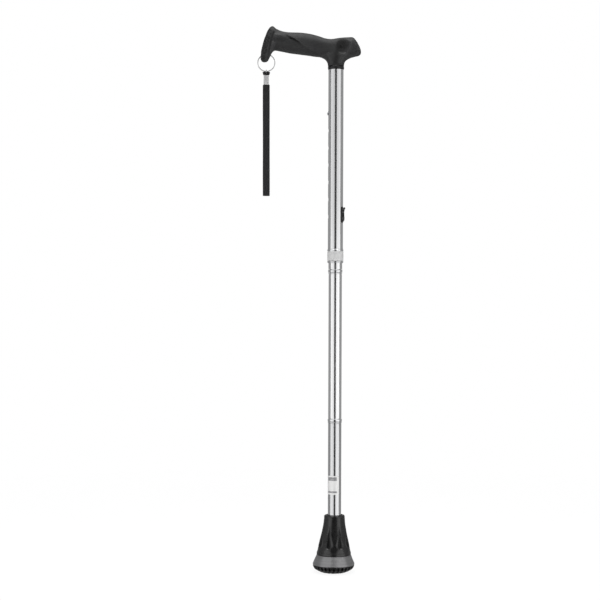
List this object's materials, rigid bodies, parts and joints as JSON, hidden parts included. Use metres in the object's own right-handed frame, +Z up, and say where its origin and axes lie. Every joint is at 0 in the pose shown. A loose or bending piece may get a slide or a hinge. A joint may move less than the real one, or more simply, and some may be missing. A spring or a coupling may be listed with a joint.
{
  "type": "folding single point cane",
  "caption": "Folding height-adjustable walking cane with an ergonomic handle, snap button, twist collar, broad rubber foot and a webbing wrist strap.",
  "frame": {"origin": "middle of the foot's flat underside, on the shaft's axis", "axes": "+Z up the shaft; the handle's nose points towards -X; Y is across the handle"},
  "size_m": [0.1525, 0.0614, 0.8029],
  "materials": {
    "soft_grip": "matte soft-touch moulding, finely grained on the nose and butt",
    "black_plastic": "satin moulded plastic",
    "black_rubber": "matte black rubber",
    "grey_rubber": "grey rubber with fine horizontal ribs",
    "bright_aluminium": "bright anodised drawn tube",
    "frosted_aluminium": "frosted and finely knurled",
    "steel": "plated steel",
    "chrome": "nickel-plated wire",
    "nylon": "natural nylon",
    "elastic": "braided cover over rubber strands",
    "webbing": "woven black webbing"
  },
  "bodies": {
    "handle_section": {"handle_grip": "soft_grip", "handle_spigot": "black_plastic", "handle_screw": "steel", "handle_collar": "black_plastic", "outer_tube": "bright_aluminium", "latch_housing": "black_plastic", "latch_pin": "steel", "latch_spring": "steel", "collar_upper_lip": "bright_aluminium", "collet": "nylon"},
    "latch_lever_body": {"latch_lever": "black_plastic"},
    "locking_collar_body": {"locking_collar": "frosted_aluminium", "collar_lower_lip": "bright_aluminium"},
    "height_section": {"height_tube": "bright_aluminium", "glide_cap": "nylon", "button_spring": "steel", "upper_cord": "elastic", "upper_cord_anchor": "nylon", "upper_joint_ferrule": "bright_aluminium"},
    "snap_button_body": {"snap_button": "steel"},
    "middle_section": {"upper_joint_plug": "bright_aluminium", "middle_tube": "bright_aluminium", "middle_cord": "elastic", "lower_joint_ferrule": "bright_aluminium"},
    "lower_section": {"lower_joint_plug": "bright_aluminium", "lower_tube": "bright_aluminium", "lower_cord": "elastic", "lower_cord_anchor": "nylon", "foot_boot": "black_rubber", "foot_washer": "steel", "foot_ring": "grey_rubber", "foot_tread": "black_rubber"},
    "split_ring_body": {"split_ring": "chrome"},
    "wrist_strap_body": {"strap_tab": "black_plastic", "strap_ferrule": "steel", "wrist_strap": "webbing"}
  },
  "joints": [
    {"name": "height_slide", "type": "slide", "parent": "handle_section", "child": "height_section", "axis": [0, 0, -1], "range_m": [0, 0.1524]},
    {"name": "snap_button_press", "type": "slide", "parent": "height_section", "child": "snap_button_body", "axis": [1, 0, 0], "range_m": [0, 0.0032], "stiffness_N_per_m": 1200, "springref_m": -0.002, "deforming": ["button_spring"]},
    {"name": "thumb_latch_press", "type": "hinge", "parent": "handle_section", "child": "latch_lever_body", "pos_m": [0.012, 0, 0.526], "axis": [0, 1, 0], "range_deg": [0, 8], "stiffness_Nm_per_rad": 0.12, "springref_deg": -5.73, "deforming": ["latch_spring"]},
    {"name": "collar_twist", "type": "hinge", "parent": "handle_section", "child": "locking_collar_body", "pos_m": [0, 0, 0.465], "axis": [0, 0, 1], "range_deg": [0, 270]},
    {"name": "upper_fold", "type": "hinge", "parent": "height_section", "child": "middle_section", "pos_m": [0, 0.012, 0.441], "axis": [1, 0, 0], "range_deg": [0, 170], "stiffness_Nm_per_rad": 0.3, "springref_deg": -114.59},
    {"name": "lower_fold", "type": "hinge", "parent": "middle_section", "child": "lower_section", "pos_m": [0, -0.012, 0.221], "axis": [-1, 0, 0], "range_deg": [0, 170], "stiffness_Nm_per_rad": 0.3, "springref_deg": -114.59},
    {"name": "ring_swing", "type": "hinge", "parent": "handle_section", "child": "split_ring_body", "pos_m": [-0.1028, 0, 0.7628], "axis": [1, 0, 0], "range_deg": [-60, 60]},
    {"name": "strap_swing", "type": "hinge", "parent": "split_ring_body", "child": "wrist_strap_body", "pos_m": [-0.1028, 0, 0.737], "axis": [1, 0, 0], "range_deg": [-60, 60]}
  ]
}
